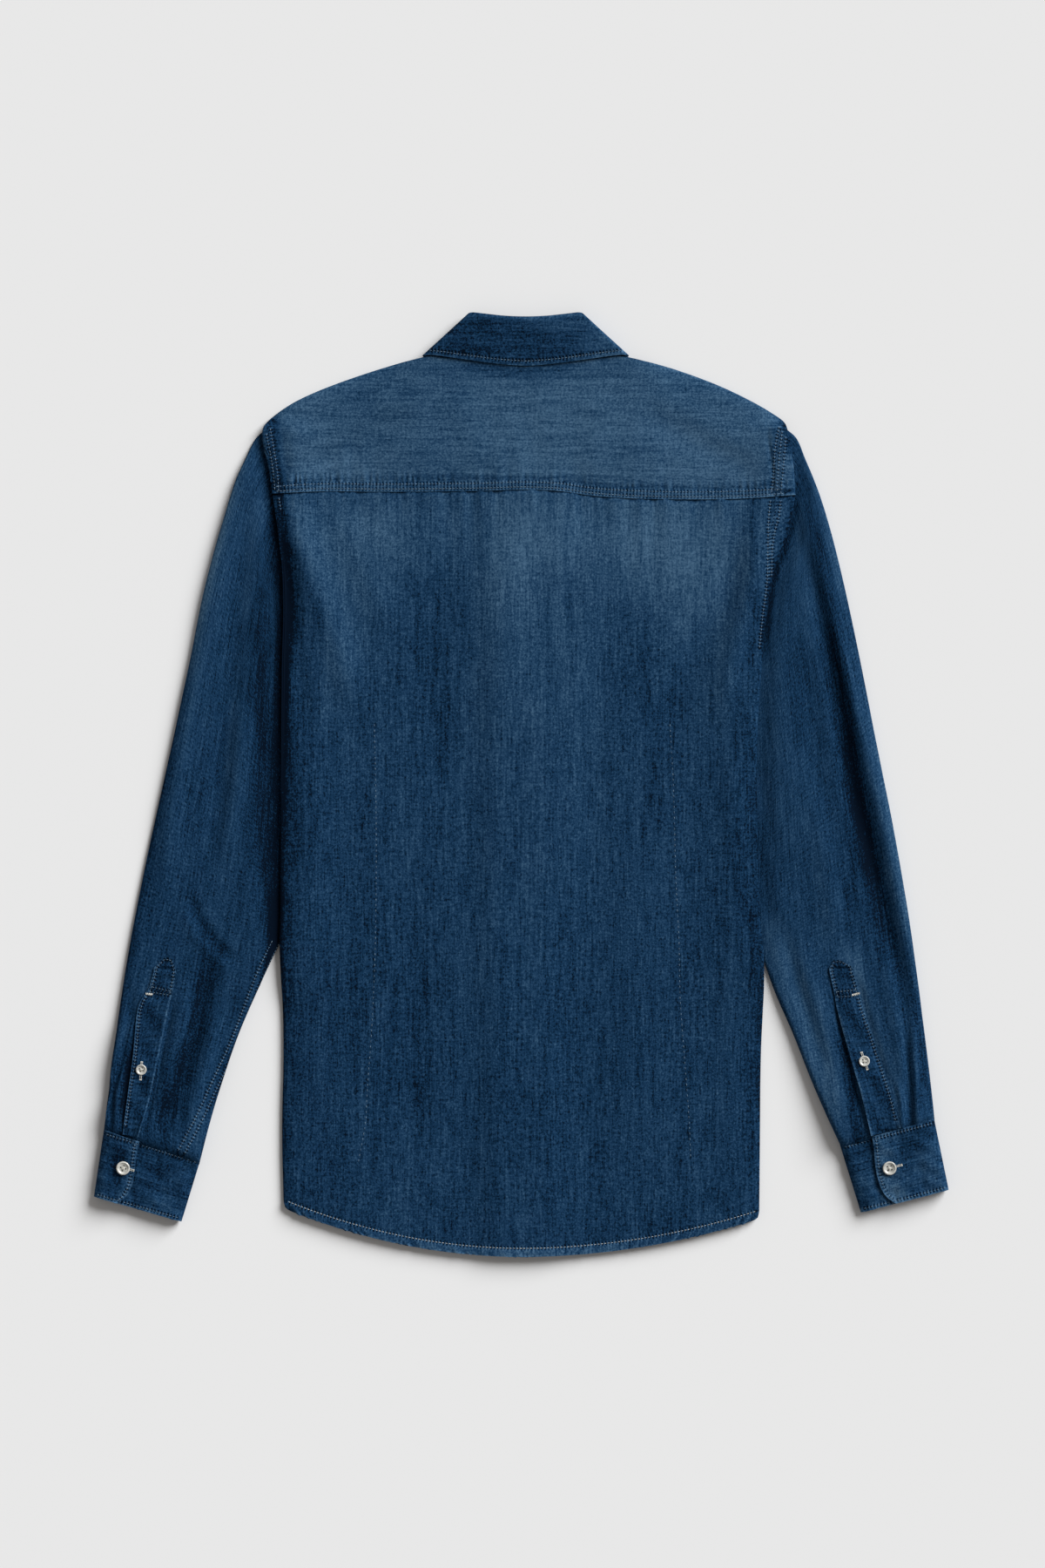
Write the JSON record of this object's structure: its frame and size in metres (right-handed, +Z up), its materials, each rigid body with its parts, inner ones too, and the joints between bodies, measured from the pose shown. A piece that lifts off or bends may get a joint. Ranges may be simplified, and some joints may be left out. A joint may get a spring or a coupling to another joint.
{
  "type": "denim shirt",
  "caption": "Long-sleeved denim shirt laid flat with its back up: yoke, darted back, folded collar, buttoned cuffs, curved shirt-tail hem.",
  "frame": {"origin": "middle of the shirt as it lies, on the surface below it", "axes": "+Y from hem to collar, +Z up out of the shirt's back, +X to the right seen from above with the collar at the top"},
  "size_m": [0.706, 0.7797, 0.0149],
  "materials": {
    "denim": "matte indigo cotton twill, washed",
    "button": "pearly white four-hole buttons"
  },
  "bodies": {
    "root": {"back_panel": "denim", "back_yoke": "denim", "front_left": "denim", "front_right": "denim", "front_placket": "denim", "sleeve_left": "denim", "sleeve_right": "denim", "cuff_left": "denim", "cuff_right": "denim", "sleeve_placket_left": "denim", "sleeve_placket_right": "denim", "collar_leaf": "denim", "collar_stand": "denim", "cuff_button_left": "button", "cuff_button_right": "button", "sleeve_button_left": "button", "sleeve_button_right": "button", "front_button_1": "button", "front_button_2": "button", "front_button_3": "button", "front_button_4": "button", "front_button_5": "button", "front_button_6": "button", "front_button_7": "button", "collar_button": "button"}
  },
  "joints": []
}
